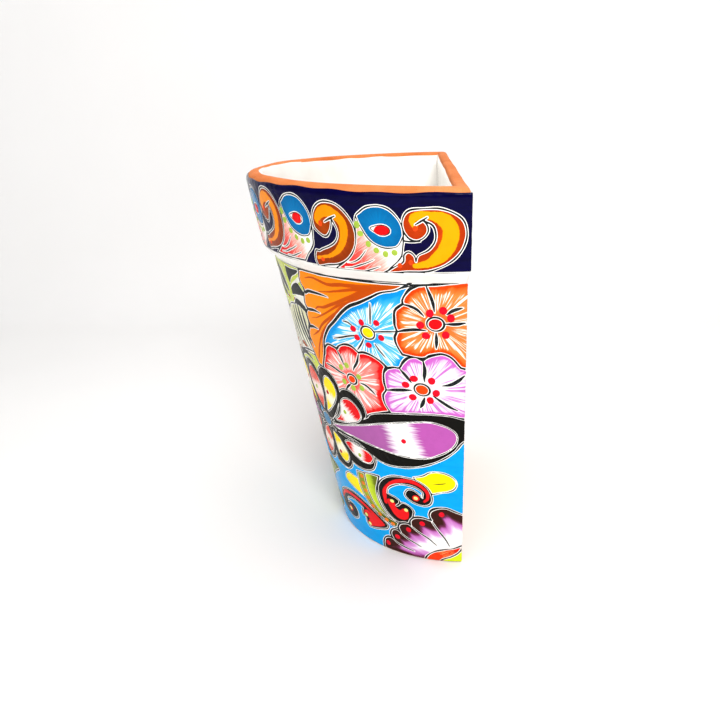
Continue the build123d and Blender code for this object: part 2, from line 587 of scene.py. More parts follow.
def new_piece(name, points, faces, material, slot, attributes=None):
    """A smooth mesh piece from points in millimetres, riding on the pot."""
    mesh = smooth_mesh(name, (hand_made(points) * MM).tolist(), faces, material)
    for key, values in (attributes or {}).items():
        kind, field = ("FLOAT", "value") if values.ndim == 1 else ("FLOAT_VECTOR", "vector")
        layer = mesh.attributes.new(key, kind, "POINT")
        layer.data.foreach_set(field, values.astype(np.float32).ravel())
    mesh.update()
    piece = placed(name, mesh)
    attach(piece, "root")
    return piece


# ================================================================ the cone's painting

BODY = Sheet(0.0, 242.0, 0.4, BODY_HIGH + 3.0, GROUND_STEP, lambda a, z: a / cone_radius(z), True,
             BODY_TAPER)
BODY_LIMIT = np.maximum(
    BODY.across - (cone_radius(BODY.up) * math.pi / 2 + WRAP),
    np.maximum(1.0 - BODY.up, BODY.up - BODY_HIGH),
)
BODY.taken = -BODY_LIMIT

INK = drawn_line()
BLACK = plain("black_enamel", "080706", "14120E")
LEMON = enamel("lemon_enamel", [(0.3, "FFF200"), (0.8, "F8E000")], 0.9, dash="4A4A20", mottle=0.05)
SKY = plain("sky_enamel", "00A0E6", "08AEEE")
LIME = plain("lime_enamel", "D6E066", "BCC84C")
SCARLET = plain("scarlet_enamel", "F01818", "D81414")
RED_BEAD = plain("red_bead", "EE1230", "D6122A")
CRIMSON_BEAD = plain("crimson_bead", "C01030", "A80C28")
GREEN_BEAD = plain("green_bead", "B4CC58", "98B440")
STEEL = plain("steel_enamel", "4F8DB4", "3E7AA2")
CORE_YELLOW = plain("yellow_core", "FFE800", "FFC800")
CORE_ORANGE = plain("orange_core", "FF5A12", "F03A08")
CORE_RED = plain("red_core", "F2161C", "DC0E14")


def flower(name, edge, material, centre, core, dividers, dots, dot_material, dot_radius=2.5,
           drawn=0.75, bold=0.9):
    """A five-petalled flower: core, drawn dividers, dots round the core, and brushed petals."""
    across, up, long, short, tilt = centre
    BODY.area(name + "_core", oval(across, up, long, short, tilt), core, drawn=0.6)
    BODY.area(name + "_petals", edge, material, radial(across, up), drawn=drawn)
    for points in dividers:
        BODY.line(points, (0.4, bold, bold, 0.3))
    BODY.bead(name + "_dots", dots, dot_radius, dot_material)


BLACK_PETALS = []
EYE = 67                    # the big flower's centre, across the sheet


def petal(name, inner, outer, material, root, tip, dot, dot_material, radius=1.9):
    """A coloured petal inside a thick black one, brushed from root to tip, with one dot."""
    BODY.area(name, ringed(inner), material, along(root, tip), drawn=0.3, gap=0.8)
    BLACK_PETALS.append(ringed(outer))
    BODY.bead(name + "_dot", [dot], radius, dot_material)


# ---- the big flower: a steel-blue eye, black-edged petals all round it, and one long purple petal

def banded(name, end, middle, low=0.4, high=0.66):
    """Petal paint: colour at both ends, a pale band between."""
    stops = [(low - 0.06, end), (low + 0.04, middle), (high - 0.04, middle), (high + 0.06, end)]
    return enamel(name, stops, 0.25, mottle=0.06)


RED_BANDED = banded("red_banded", "E5161C", "FBF0EC")
YELLOW_BANDED = banded("yellow_banded", "FFE600", "FCF8E0", 0.42, 0.62)
EMBER_BANDED = banded("ember_banded", "E84A30", "FBE6DC", 0.36, 0.62)
PURPLE_STOPS = [(0.0, "A45C9A"), (0.69, "B066A8"), (0.735, "FFFFFF"), (0.8, "FFFFFF"), (0.84, "BC60B0")]
PURPLE_BANDED = enamel("purple_banded", PURPLE_STOPS, 0.08, mottle=0.06)
FRONT_PURPLE = enamel("front_purple", [(0.1, "FFFFFF"), (0.22, "B066A8")], 0.12, mottle=0.06)

BODY.area("flower_eye", oval(EYE, 112, 7.5, 6.5), STEEL, drawn=0.5)
LONG_PETAL = [(76, 111), (90, 114.5), (105, 119), (120, 123.5), (135, 128), (150, 131.8), (165, 134.5),
              (178, 136), (187, 134), (193, 130.5), (195.5, 126), (194, 120), (190, 115), (184, 110.5),
              (176, 106.5), (168, 103.5), (158, 102.2), (145, 102.5), (132, 104.5), (118, 106.5),
              (104, 108.3), (90, 109), (76, 110)]
LONG_OUTER = [(78, 114), (104, 121), (125, 131), (130, 135), (138, 138), (150, 140.3), (165, 142),
              (180, 143), (195, 142.3), (204, 139.5), (214, 136), (212, 126), (204, 121.5), (198, 119),
              (190, 111), (180, 104), (168, 98), (155, 93.5), (140, 91), (130, 91), (122, 93.5),
              (118.5, 96), (104, 104.5), (78, 106)]
UP_RED = [(85, 117.5), (92, 123), (97, 129), (100, 136), (104, 141), (110, 143.5), (116, 142),
          (120, 137), (120.5, 131), (117, 126.5), (112, 123.5), (104, 121), (95, 119)]
UP_RED_OUTER = [(80, 116), (90, 125), (96, 134), (99, 140), (103, 147), (108, 151), (115, 152),
                (121, 149.5), (126, 143), (127, 136), (125, 130.5), (112, 122), (90, 115)]
UP_YELLOW = [(74, 121.5), (77, 129), (80, 139), (82, 148), (85.5, 154), (90, 156.5), (95, 155),
             (98.5, 150), (98, 143.5), (94, 137), (88, 131), (80, 124.5)]
UP_YELLOW_OUTER = [(70, 117), (73, 130), (75, 145), (76, 152), (79, 159), (85, 163.5), (92, 164),
                   (99, 161), (103.5, 155), (104.5, 148), (102, 142), (94, 130), (80, 116)]
TOP_EMBER = [(67, 122), (60, 128), (55, 137), (53, 147), (57, 155), (63, 158), (70, 155.5), (75, 148),
             (76, 140), (73, 131), (69, 124)]
TOP_EMBER_OUTER = [(67, 117), (56, 126), (50, 136), (47, 148), (52, 159), (62, 164), (73, 161),
                   (79, 150), (80, 140), (77, 128), (71, 119)]
DOWN_RED = [(89, 99), (95, 101.7), (103, 101), (110, 99.5), (116, 97), (118, 93), (115, 88.5),
            (110, 86.5), (103, 87), (97, 90), (92, 94.5)]
DOWN_RED_OUTER = [(78, 106), (95, 104.5), (110, 102), (118, 98.5), (120.5, 93), (118.5, 88), (114, 82),
                  (107, 79), (100, 78.5), (93, 80), (88, 84), (86, 95)]
DOWN_YELLOW = [(73, 103), (80, 100), (85, 94), (88, 88), (87, 82), (82, 77.5), (76, 79), (72.5, 84),
               (72, 90), (72, 97)]
DOWN_YELLOW_OUTER = [(70, 107), (82, 103), (89, 96), (92, 88), (90, 79), (86, 74), (80, 71), (72, 72),
                     (66, 75), (68, 90)]
BOTTOM_EMBER = [(64, 104), (66, 98), (66, 90), (62, 82), (56, 76), (50, 75), (46, 80), (47, 88),
                (52, 96), (58, 102)]
BOTTOM_OUTER = [(67, 107), (70, 97), (69, 86), (65, 78), (57, 71.5), (48, 70.5), (41.5, 77), (43, 90),
                (49, 100), (58, 106)]
PETALS = [                  # name, petal, black edge, paint, root, tip, dot, the dot's paint
    ("up_red_petals", UP_RED, UP_RED_OUTER, RED_BANDED, (80, 113), (122, 143), (103, 130), GREEN_BEAD),
    ("up_yellow_petals", UP_YELLOW, UP_YELLOW_OUTER, YELLOW_BANDED, (71, 118), (95, 158), (85.5, 141.5),
     CRIMSON_BEAD),
    ("top_petals", TOP_EMBER, TOP_EMBER_OUTER, EMBER_BANDED, (68, 119), (62, 160), (65, 140), GREEN_BEAD),
    ("down_red_petals", DOWN_RED, DOWN_RED_OUTER, RED_BANDED, (82, 100), (121, 89), (104, 92), GREEN_BEAD),
    ("down_yellow_petals", DOWN_YELLOW, DOWN_YELLOW_OUTER, YELLOW_BANDED, (71, 106), (83, 74),
     (77, 85.5), CRIMSON_BEAD),
    ("bottom_petals", BOTTOM_EMBER, BOTTOM_OUTER, EMBER_BANDED, (66, 106), (49, 72), (56, 88), GREEN_BEAD),
    ("front_red_petals", flipped(UP_RED, EYE), flipped(UP_RED_OUTER, EYE), RED_BANDED, (54, 113),
     (12, 143), (31, 130), GREEN_BEAD),
    ("front_yellow_petals", flipped(UP_YELLOW, EYE - 3), flipped(UP_YELLOW_OUTER, EYE - 3), YELLOW_BANDED,
     (57, 118), (33, 158), (42.5, 141.5), CRIMSON_BEAD),
    ("front_low_petals", flipped(DOWN_RED, EYE - 2), flipped(DOWN_RED_OUTER, EYE - 2), RED_BANDED,
     (48, 100), (9, 89), (26, 92), GREEN_BEAD),
]
petal("long_petal", LONG_PETAL, LONG_OUTER, PURPLE_BANDED, (0, 112), (200, 116), (153, 116.7), RED_BEAD,
      2.2)
for each in PETALS:
    petal(*each)
FRONT_PETAL = [(-57, 111), (-40, 114.5), (-20, 117.8), (0, 119), (20, 117.8), (40, 114.5), (57, 111),
               (40, 108.5), (20, 106), (0, 105), (-20, 106), (-40, 108.5), (-57, 111)]
FRONT_PETAL_OUTER = [(-60, 114), (-40, 119), (-20, 122.3), (0, 123.5), (20, 122.3), (40, 119),
                     (60, 114), (60, 108), (40, 104), (20, 101.5), (0, 100.5), (-20, 101.5), (-40, 104),
                     (-60, 108)]
BODY.area("front_purple_petal", smooth(FRONT_PETAL), FRONT_PURPLE, along((0, 112), (100, 112)),
          drawn=0.35, gap=0.8)
BLACK_PETALS.append(ringed(FRONT_PETAL_OUTER))
ALL_BLACK = np.minimum.reduce([BODY.from_area(line) for line in BLACK_PETALS])
BODY.area("black_petal_edges", ALL_BLACK, BLACK, radial(EYE, 112), drawn=0.4, gap=0.7, thin=True)

# ---- flowers

BLUE_STOPS = [(0.12, "0A9AE0"), (0.35, "4CBCEE"), (0.72, "60C6F2"), (0.9, "06A0E6")]
ORANGE_STOPS = [(0.1, "FB5C14"), (0.4, "FF8442"), (0.75, "FF8C44"), (0.92, "FA5A0C")]
RED_STOPS = [(0.1, "F0483E"), (0.4, "F7928A"), (0.72, "F5857C"), (0.95, "EA302E")]
LILAC_STOPS = [(0.08, "DE98DA"), (0.3, "FAECFA"), (0.78, "F6E4F6"), (0.96, "DC90D4")]
BLUE_PETAL = enamel("blue_petal", BLUE_STOPS, 0.3, "FAFEFF", (0.25, 0.88), "0698E2", 5.0)
ORANGE_PETAL = enamel("orange_petal", ORANGE_STOPS, 0.3, "FFF6EA", (0.3, 0.86), "F04A08", 4.0,
                      streak_amount=(0.5, 0.6))
RED_PETAL = enamel("red_petal", RED_STOPS, 0.35, "FFF2EE", (0.25, 0.86), "E2161A", 5.0,
                   streak_amount=(0.49, 0.59))
LILAC_PETAL = enamel("lilac_petal", LILAC_STOPS, 0.45, "D07CCC", (0.4, 1.1), "D26CCA", 4.5,
                     streak_amount=(0.49, 0.61))

FAN_RIB = [(91, 164.5), (93, 168), (97, 174.5), (100, 180), (105, 190.5), (115, 201.5), (125, 209),
           (135, 217), (145, 223.5), (155, 227.5), (165, 232), (175, 236.5), (185, 238.5), (190, 240.3)]
RED_TOP = [(100, 179), (103, 184), (108, 187.5), (113, 187.5), (118, 186.5), (121, 189), (127, 191.5),
           (133, 192), (137, 190), (139.5, 187.5), (144, 188.5), (150, 187.5), (156, 184), (160, 179.5)]
RED_RIGHT = [(160, 179.5), (156, 174), (154, 166), (153, 160), (149, 155), (148, 148), (150, 141.5)]
LILAC_TOP = [(160, 178.5), (166, 180), (170, 180), (174, 184.5), (179, 188.5), (185, 189.5),
             (189, 187.5), (193, 190), (199, 192), (205, 193), (210, 190.5), (213, 186.5), (215.5, 183),
             (226, 182)]
ORANGE_LEFT = [(176, 191), (174, 198), (174.5, 204), (177.5, 208.5), (177.5, 213), (178.5, 217),
               (181, 224), (186, 228), (188.5, 229.5), (189, 232), (192, 236), (197, 240.5), (203, 243)]

flower("orange_flower",
       outline(ORANGE_LEFT, [(203, 243), (236, 246), (245, 246), (232, 180), (214, 182)],
               [(214, 182), (210, 190), (204, 193), (196, 191.5), (190, 189), (176, 191)]),
       ORANGE_PETAL, (206.5, 215.5, 6.2, 4.8, 25), CORE_RED,
       [[(208.5, 243), (209.3, 232), (208.3, 224)],
        [(200.5, 221), (197, 226), (192, 228.5), (188, 229)],
        [(178, 208.5), (184, 210), (192, 211), (199, 210.5)],
        [(205, 209), (203.5, 203), (201.5, 197)],
        [(213, 215.7), (220, 215.5), (227, 216.5)],
        [(216, 222.5), (221, 225.5), (228, 227.5)]],
       [(196, 214.5), (197.5, 206.7), (205, 223.5), (214.5, 225.5), (218, 220), (211, 207.5)],
       RED_BEAD, 2.9, bold=1.1)
flower("lilac_flower",
       outline(LILAC_TOP, [(226, 182), (214, 140)],
               [(214, 140), (203, 140), (190, 142), (160, 140), (150, 139)],
               [(150, 141.5), (148, 148), (149, 155), (153, 160), (153.5, 166), (156, 174), (160, 178.5)]),
       LILAC_PETAL, (181.5, 163.5, 5.8, 4.8, 20), CORE_ORANGE,
       [[(154, 160), (160, 161), (168, 162), (174, 162.5)],
        [(170, 179.5), (173, 174), (175.5, 168.5)],
        [(189.5, 187), (188.5, 180), (186, 173), (185.5, 170)],
        [(215, 176), (209, 171.5), (203, 168.5), (197, 167.5)],
        [(188, 159), (193, 154), (198, 149.5), (202.5, 147)],
        [(181.5, 157), (178.5, 152), (175.5, 148)]],
       [(170.5, 166.7), (178.3, 172.3), (190.7, 171.3), (191, 161.3), (185, 155), (172.7, 156.7)],
       RED_BEAD, 2.9, bold=1.25)
flower("red_flower",
       outline(RED_TOP, RED_RIGHT, [(150, 141.5), (140, 138), (130, 134), (122, 129)],
               [(122, 129), (100, 140), (86, 150), (91, 164.5), (95, 172), (100, 179)]),
       RED_PETAL, (124, 163, 4.5, 4.0, 30), CORE_ORANGE,
       [[(117, 185.5), (119, 180), (120, 173.5)],
        [(139, 186), (135, 179), (130, 173.5), (128.5, 171)],
        [(98, 169.5), (106, 168.5), (112, 166.5), (118, 165.5)],
        [(114, 152.5), (117, 155.5), (121, 158.5)],
        [(131.5, 161.5), (136, 160.5), (140, 157), (142.5, 153.5)]],
       [(116, 171), (123, 174), (132, 166.7), (131.5, 157.3), (122.7, 155.5), (114.7, 159)], GREEN_BEAD)
flower("blue_flower",
       outline(FAN_RIB[2:] + [(203, 244)],
               [(203, 244), (203, 235), (190, 210), (184, 190), (176, 184), (165, 170)],
               [(165, 170), (150, 170), (100, 165), (97, 174.5)]),
       BLUE_PETAL, (154, 205, 5.6, 4.8, 20), CORE_YELLOW,
       [[(158.5, 212), (161, 219), (164, 228)],
        [(160, 206.5), (168, 207.5), (178, 208.5)],
        [(157, 197), (159, 192), (162, 187)],
        [(149, 200), (145, 195), (139.5, 189.5)],
        [(144, 201.5), (135, 199.5), (127, 197), (118, 194.5)],
        [(134.5, 211), (139, 210.5), (144, 207)]],
       [(151.5, 212.5), (164, 213.5), (164, 202.5), (151.5, 195.3), (143.3, 199.8), (142.2, 206.3)],
       RED_BEAD, drawn=0.3, bold=0.6)

# ---- the orange fan leaf over the blue flower

FAN_PAINT = enamel("fan_enamel", [(0.35, "FF9400"), (0.8, "FF8400")], 0.6, dash="C25200", mottle=0.03)
FAN_LOBES = [
    [(200, 245.5), (140, 244), (101, 244), (97.5, 241.5), (95, 237.5), (94.8, 233), (97, 229.5)],
    [(98, 228.5), (94, 222), (92, 217), (93, 214)],
    [(95, 212.8), (91, 210), (89, 205), (89.5, 200)],
    [(89, 197.8), (85, 194), (82, 188), (80.5, 180), (82, 173), (84.5, 165.5)],
]
FAN_NOTCHES = [
    [(97, 229.5), (98, 226), (103, 228), (112, 228.3), (120, 228), (126, 227.3)],
    [(93, 214), (95, 212.5), (103, 213.3), (111, 212.5)],
    [(89.5, 200), (89, 197.5), (94, 198.5), (101, 198)],
]
FAN_DASHES = [
    ([(103, 238), (115, 240), (130, 237.5), (145, 239), (165, 239.5), (192, 242)],
     (0.2, 1.2, 1.4, 1.8, 2.6)),
    ([(116, 230), (130, 232), (150, 236), (172, 240)], (0.2, 0.8, 1.2, 1.6)),
    ([(104, 212.5), (110, 217), (118, 218.5), (130, 223), (145, 229), (165, 237)],
     (0.2, 1.2, 1.2, 1.5, 2.2)),
    ([(90, 190.5), (100, 196), (110, 204), (122, 211.5), (132, 217.5)], (0.2, 0.9, 0.9, 1.1, 0.8)),
    ([(96, 206), (106, 208.5), (118, 214), (134, 222), (148, 227.5)], (0.2, 0.6, 0.7, 1.0, 0.8)),
    ([(86, 168), (91, 176), (96, 184), (104, 194), (113, 202.5)], (0.2, 0.9, 0.8, 1.0, 0.8)),
    ([(96, 176), (102, 188), (110, 199), (121, 208), (135, 219), (150, 227.5), (170, 236), (195, 243)],
     (0.2, 0.9, 1.3, 1.9, 2.4, 3.0, 3.6)),
]
BODY.area("fan_leaf", outline(*FAN_LOBES, FAN_RIB), FAN_PAINT, along((90, 190), (190, 240), 2.0), 0.6,
          FAN_DASHES)
BODY.line(FAN_RIB, (0.6, 1.0, 1.1, 0.3))
for notch in FAN_NOTCHES:
    BODY.line(notch, (0.9, 1.2, 0.9, 0.25))

# ---- dark leaves on lime, up to the front centre line

LEAF_WHITE = plain("leaf_white", "F6F4EA", "E6E4D2")
RUST = plain("rust_enamel", "B4622C", "9A4A1C")
DARK_LEAVES = [
    [(72, 242), (82, 241.5), (95, 242), (90, 238.5), (82, 235.5), (76, 231.5), (72.5, 228.5),
     (70.5, 235), (72, 242)],
    [(71, 219), (71.5, 223.5), (76, 227), (82, 229.8), (88, 231.2), (92, 228.5), (96, 223), (86, 221.5),
     (78, 220.5), (71, 219)],
    [(70, 212), (76, 216.8), (84, 216), (90, 212.5), (96, 206.5), (88, 208.5), (79, 211.5), (70, 212)],
    [(40, 243), (50, 239), (59, 231), (63, 220), (56, 222), (46, 229), (40, 237)],
    [(20, 233), (32, 233), (46, 226), (55, 215), (43, 215.5), (31, 220), (23, 226)],
    [(6, 221), (18, 218), (33, 211), (45, 202.5), (32, 201), (17, 206), (7, 213)],
]
WHITE_LEAVES = [
    [(72, 225.5), (78, 229.5), (85, 232.8), (94, 237), (92, 232.5), (84, 230.6), (77, 228), (72, 224)],
    [(70, 217), (80, 219.6), (89, 220.6), (96, 221), (95, 216), (93, 211.5), (87, 215.5), (77, 217.5)],
    [(50, 237), (60, 229), (66, 219), (63, 229), (56, 238)],
    [(33, 232), (46, 225.5), (56, 215), (51, 226), (40, 234)],
]
RUST_LEAVES = [
    [(68, 212), (74, 217.6), (83, 218), (90, 214.5), (83, 216.6), (75, 216.4), (68, 212)],
    [(58, 176), (66, 174), (78, 173), (70, 176), (62, 179)],
    [(46, 210), (54, 214), (64, 213), (56, 216)],
]
for leaf in DARK_LEAVES:
    BODY.shape(ringed(leaf))
for count, leaf in enumerate(WHITE_LEAVES):
    BODY.area(f"white_leaf_{count}", ringed(leaf), LEAF_WHITE, drawn=0)
for count, leaf in enumerate(RUST_LEAVES):
    BODY.area(f"rust_leaf_{count}", ringed(leaf), RUST, drawn=0)
STRIPES = [                 # points, then half-widths along them
    ([(69, 211), (67.5, 200), (70, 188), (77, 176)], (0.6, 1.9, 1.7, 0.4)),
    ([(75, 213), (74, 201), (75.5, 190), (81, 177)], (0.6, 2.1, 1.8, 0.4)),
    ([(81, 210), (80.5, 199), (81, 190), (85, 180)], (0.6, 1.7, 1.4, 0.4)),
    ([(62, 208), (60, 196), (63, 184), (70, 175)], (0.5, 2.1, 1.6, 0.4)),
    ([(53, 203), (52, 190), (58, 174)], (0.4, 2.2, 0.5)),
    ([(44, 198), (44, 186), (51, 170)], (0.4, 2.2, 0.5)),
    ([(34, 193), (36, 181), (44, 167)], (0.4, 2.2, 0.5)),
    ([(23, 191), (26, 179), (35, 165)], (0.4, 2.2, 0.5)),
    ([(11, 192), (14, 179), (24, 163)], (0.4, 2.2, 0.5)),
    ([(0, 195), (3, 180), (12, 162)], (0.4, 2.2, 0.5)),
]
for points, widths in STRIPES:
    BODY.line(points, widths)
BODY.line([(56, 171), (70, 173.5), (82, 174.5)], (0.3, 0.9, 0.3))
BODY.shape(outline([(46, 168), (56, 170.5), (66, 170), (76, 165), (66, 167), (56, 166), (46, 162),
                    (46, 168)]))
LEAF_STOPS = [(0.3, "F2F0E0"), (0.9, "DCDCB0")]
LEAF_WASH = enamel("leaf_wash", LEAF_STOPS, 0.9, "A8602C", (0.0, 0.35), mottle=0.08)
BODY.area("striped_leaf", outline([(90, 213), (84, 214), (70, 211.5), (55, 208), (38, 200), (18, 198),
                                   (0, 202)],
                                  [(0, 202), (0, 158), (40, 160), (62, 170), (84, 172)],
                                  [(84, 172), (79, 182), (84, 194), (88, 200), (88, 208), (90, 213)]),
          LEAF_WASH, along((50, 160), (50, 215), 4.0), drawn=0.4)
BODY.line([(0, 244), (0, 222), (0, 203)], (0.9, 1.3, 0.5))      # the stem on the front centre line
BODY.area("lime_ground", outline([(0, 246), (110, 246), (110, 150), (0, 150)]), LIME, drawn=0)

# ---- below the big flower: scrolls, a dotted stalk, lemons and a fan of scallops, on sky blue

LOBE_STOPS = [(0.36, "42201A"), (0.46, "7A3A5C"), (0.54, "C573BE"), (0.72, "DBA0D8"), (0.9, "FFFFFF")]
LOBE_PAINT = enamel("lobe_enamel", LOBE_STOPS, 0.4, mottle=0.05)
CRESCENT = enamel("crescent_enamel", [(0.3, "F4481C"), (0.7, "E02A10")], 0.7, "FF9A5A", (0.3, 0.8))
CORNER_LIME = plain("corner_lime", "E0F02C", "D2E41C")
STALK_OLIVE = enamel("stalk_olive", [(0.3, "8E9A2C"), (0.75, "5A6420")], 0.7, "C8D440", (0.2, 0.8))
STALK_LIME = enamel("stalk_lime", [(0.3, "CFE23C"), (0.55, "B4CC30"), (0.75, "6E7A1E")], 0.3)
ORANGE_BEAD = plain("orange_bead", "F28A34", "E06E1C")

SCALLOPS = [
    [(96.5, 1.5), (98, 7), (101, 12), (106, 15), (109.7, 14.5)],
    [(109.7, 14.8), (109, 19), (112, 24), (117, 26), (119.8, 24.3)],
    [(119.7, 24.6), (119.5, 29), (123, 33.5), (129, 35.5), (132.4, 34.3)],
    [(132.3, 34.6), (133.5, 39), (138, 43), (145, 44.5), (152, 43)],
    [(152.3, 43.3), (152, 48), (155, 53), (161, 56), (168, 56.5), (174, 53.5), (180, 50)],
]
SCALLOP_LINES = [
    [(110, 13.5), (114, 10.5), (120, 8.5), (127, 6.5)],
    [(120, 23), (125, 19), (131, 15.5), (135, 13)],
    [(133, 33), (138, 28), (144, 23.5), (149, 17)],
    [(152.5, 41), (155, 33), (158, 25), (159.5, 17)],
]
BODY.area("crescent", outline([(133, -2), (138, 5), (146, 10.5), (155, 13.5), (162, 15), (172, 19.5)],
                              [(172, 19.5), (168, 14), (163.5, 9.5), (157, 5.5), (150, 2.5), (144, -2)]),
          CRESCENT, along((138, 0), (170, 17)), drawn=0.5)
BODY.area("lime_corner", outline([(144, -2), (150, 2.5), (157, 5.5), (163.5, 9.5), (168, 14), (174, 14)],
                                 [(174, 14), (168, -4)]), CORNER_LIME, drawn=0.3)
BODY.area("scallop_fan", outline(*SCALLOPS, [(180, 50), (200, 44), (176, -4), (110, -4), (96.5, 1.5)]),
          LOBE_PAINT, radial(178, -16, 21.0), drawn=0.7)
for points in SCALLOP_LINES:
    BODY.line(points)
BODY.bead("scallop_dots", [(103, 7.5), (115.5, 18), (129, 29), (143.5, 38.3), (162.5, 50)], 2.5, RED_BEAD)

HEAD_SPOTS = [(146, 63.5), (123, 55.5), (133.5, 49.5), (86.5, 29), (87.5, 20.5), (62, 24)]
BODY.bead("scroll_dots", HEAD_SPOTS, 1.8, plain("straw_bead", "EDF0A0", "DCE27C"), lift=0.45)
BODY.bead("scroll_dots_red", HEAD_SPOTS[:1] + HEAD_SPOTS[-1:], 3.3, SCARLET, lift=0.15)

SCROLL_PAINT = enamel("scroll_black", [(0.3, "080706"), (0.8, "14120E")], 0.5, dash="EA1A20", specular=0.15)
RIGHT_STRIPE = [(116, 52), (117, 58), (119, 64), (125, 71), (132, 76), (140, 78.5), (147, 79),
                (153, 76.5), (157, 71), (156, 65), (152, 61)]
RIGHT_HEART = [(118, 55), (119, 46), (122, 40), (127, 38.5), (132, 40.5), (134.5, 45), (135, 49),
               (131, 50.5), (128, 48), (124.5, 50), (125, 54), (122.5, 57), (118, 55)]
RIGHT_RED = [(RIGHT_STRIPE, (1.4, 1.8, 1.6, 1.5, 1.7, 1.7, 1.4, 0.8)), (RIGHT_HEART, None)]
BODY.area("right_scroll", outline(
    [(121, 34.5), (116, 38), (112, 45), (110.5, 55), (112, 64), (116, 71), (122, 76.5), (130, 80.5),
     (138, 82), (145, 82), (150, 81.5), (155, 79), (159, 74.5), (160, 68), (158.5, 62), (155, 58),
     (150, 56.5), (144, 57.5), (139.5, 60), (137, 64), (138.5, 68), (142, 71), (146, 70.8), (150, 67.5),
     (151.5, 64.5)],
    [(152, 66), (153, 70), (149, 73.5), (143, 74.8), (135, 74), (128, 71), (123, 67), (120.5, 62)],
    [(120.5, 62), (124, 61), (128, 59.5), (130, 57), (128, 53), (125.5, 51.5)],
    [(125.5, 51.5), (132, 56), (137, 54.5), (140, 50), (138, 45), (135, 40), (132, 36.5), (127, 34.5)]),
    SCROLL_PAINT, radial(135, 60), 0.4, RIGHT_RED, gap=0.8, thin=True)

LEFT_STRIPE = [(50, 30), (56, 37), (63, 41), (73, 42.3), (83, 41), (91, 37.5), (98, 33), (104, 28)]
LEFT_HEART = [(84, 31), (88, 34.5), (94, 33.5), (100, 30), (106, 26.5), (100, 22.5), (92, 19.8),
              (86.5, 18.5), (85.5, 21.5), (89, 26), (85, 27.5), (84, 31)]
LEFT_RED = [(LEFT_STRIPE, (0.8, 1.6, 1.8, 1.6, 0.9)), (LEFT_HEART, None)]
BODY.area("left_scroll", outline(
    [(110, 27), (104, 33), (98, 38), (92, 42), (85, 45), (77, 46.5), (69, 46), (61, 43.5), (53, 39),
     (48, 33), (47, 26), (51, 19), (57, 15.5), (64, 15), (70, 18), (73, 23), (72, 28), (68, 31),
     (62, 31), (58, 28)],
    [(58, 28), (60, 33), (66, 36), (73, 37.5), (80, 36.5), (84, 34.5)],
    [(84, 34.5), (81.5, 31), (81, 27), (84, 25.5), (83, 20), (85, 16.5)],
    [(85, 16.5), (92, 17.5), (100, 20), (107, 23), (110, 27)]),
    SCROLL_PAINT, radial(75, 30), 0.4, LEFT_RED, gap=0.8, thin=True)

BODY.bead("stalk_dots", [(97.5, 70.5), (96.5, 63.5), (96.5, 56.5), (97, 50), (99.5, 42.5),
                         (104.5, 36.5), (110, 33), (115.5, 31)], 2.0, ORANGE_BEAD)
STALK_SIDE = [(115, 35.5), (109, 38.5), (104, 43.5), (101, 50), (100, 58), (100.5, 66), (102, 75)]
BODY.area("stalk_band", outline(
    [(93, 74), (91.5, 66), (91, 58), (92.5, 50), (96, 43), (102, 36.5), (108, 32), (114, 28.5),
     (119, 27.5)],
    [(119, 27.5), (121, 33)] + STALK_SIDE),
    STALK_OLIVE, along((96, 75), (118, 28), 0.8), drawn=0.45)
BODY.area("stalk_leaf", outline(
    [(102, 75), (108, 76.5), (118, 77)],
    [(118, 77), (114, 70), (110, 62), (108.5, 54), (109.5, 46), (113, 39), (119, 33)],
    [(119, 33)] + STALK_SIDE),
    STALK_LIME, along((98, 56), (115, 56), 0.8), drawn=0.45)
BODY.area("right_lemon", outline(
    [(150, 83.5), (158, 86), (165, 90), (172, 91), (178, 89.5), (182, 86), (183, 81), (180, 76),
     (175, 73), (168, 71.5), (161, 69.5), (157, 72)]), LEMON, brushed, 0.35,
    [([(163.5, 79.5), (170, 80), (174.5, 81)], (0.2, 0.5, 0.2))])
BODY.area("left_lemon", outline(
    [(71, 59), (74, 64), (80, 67.3), (86, 66.5), (93, 65.5)], [(93, 65.5), (92, 49)],
    [(92, 49), (84, 51.5), (78, 54), (73, 56.5), (71, 59)]), LEMON, drawn=0.35)

# ---- a sprig at the foot of the front centre line

TULIP = [(0, 92), (5, 88), (9, 80), (9, 71), (5, 65), (0, 63)]
SPRIG_LEAF = [(4, 30), (10, 44), (20, 56), (33, 63), (46, 66), (60, 62), (50, 55), (38, 47), (26, 38),
              (14, 31)]
LOW_LEAF = [(3, 8), (12, 18), (22, 24), (34, 25), (43, 20), (36, 12), (24, 6), (12, 4)]
BODY.area("tulip", outline(TULIP + flipped(TULIP, 0)[::-1]), RED_BANDED, along((0, 62), (0, 94)), drawn=0.5)
BODY.area("sprig_leaves", ringed(SPRIG_LEAF), STALK_LIME, along((10, 30), (50, 66), 1.0), 0.5,
          [([(6, 32), (22, 46), (40, 56), (56, 61)], (0.2, 0.9, 0.2))])
BODY.area("low_leaves", ringed(LOW_LEAF), STALK_OLIVE, along((4, 6), (42, 22), 1.0), drawn=0.5)
BODY.area("sprig_stem", BODY.from_line(smooth([(0, 0), (0.5, 30), (0, 64)]), (2.2, 1.8, 1.2)), STALK_OLIVE,
          along((0, 0), (0, 60)), drawn=0.4)
BODY.area("sky_ground", outline([(-9, -9), (-9, 160), (260, 160), (260, -9)]), SKY, drawn=0)

BAND_LINE = [(-4, 245.2), (65, 245.2), (100, 244.6), (140, 243.8), (200, 243.6), (240, 246)]
BODY.line(BAND_LINE, (0.5, 0.45, 0.5))
BODY.finish(BODY_LIMIT)
BODY.finish_lines("body_lines", INK)


# ================================================================ the rim band's painting

